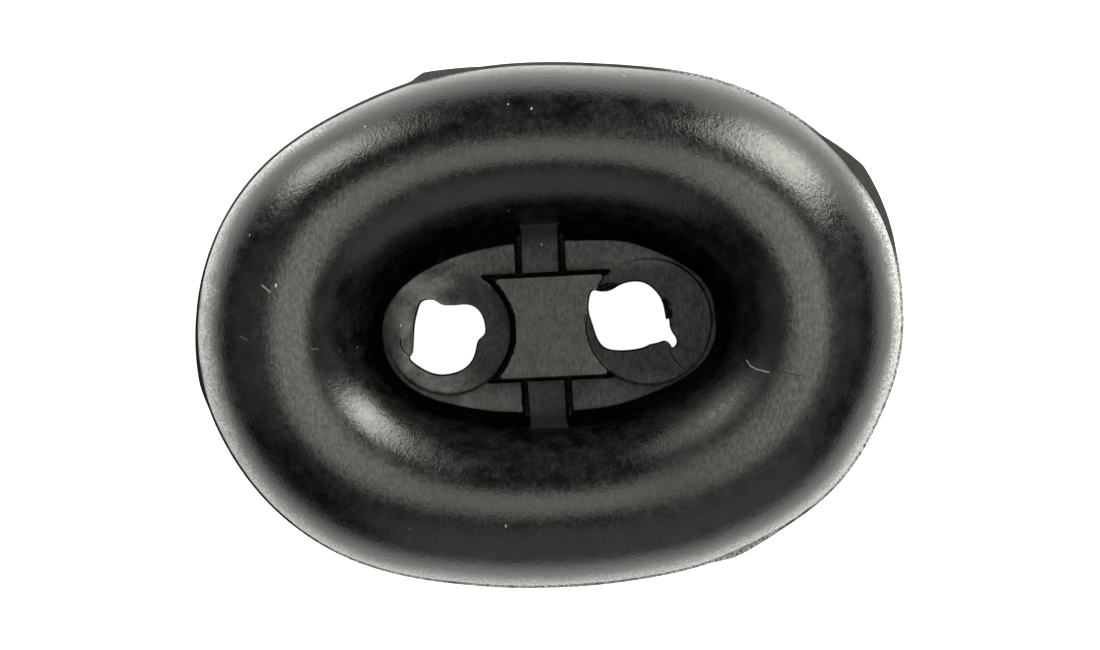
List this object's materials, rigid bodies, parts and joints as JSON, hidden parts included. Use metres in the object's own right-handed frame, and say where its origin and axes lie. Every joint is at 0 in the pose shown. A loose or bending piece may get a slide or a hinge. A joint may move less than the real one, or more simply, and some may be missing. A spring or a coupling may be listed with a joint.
{
  "type": "exhaust hanger",
  "caption": "Oval moulded rubber hanger for a car exhaust: a thick ring round a recessed hub with a bore for the body hook and a bore for the pipe hook.",
  "frame": {"origin": "centre of the part, on the mould line's plane and midway between the bores", "axes": "+X through both bores along the length, +Y across, +Z along the bores, up from the face it lies on"},
  "size_m": [0.09, 0.067, 0.025],
  "materials": {
    "rubber": "black moulded rubber, satin on the ring and duller on the hub, with a scuffed dusty band along the mould line"
  },
  "bodies": {
    "root": {"hanger_body": "rubber"}
  },
  "joints": []
}
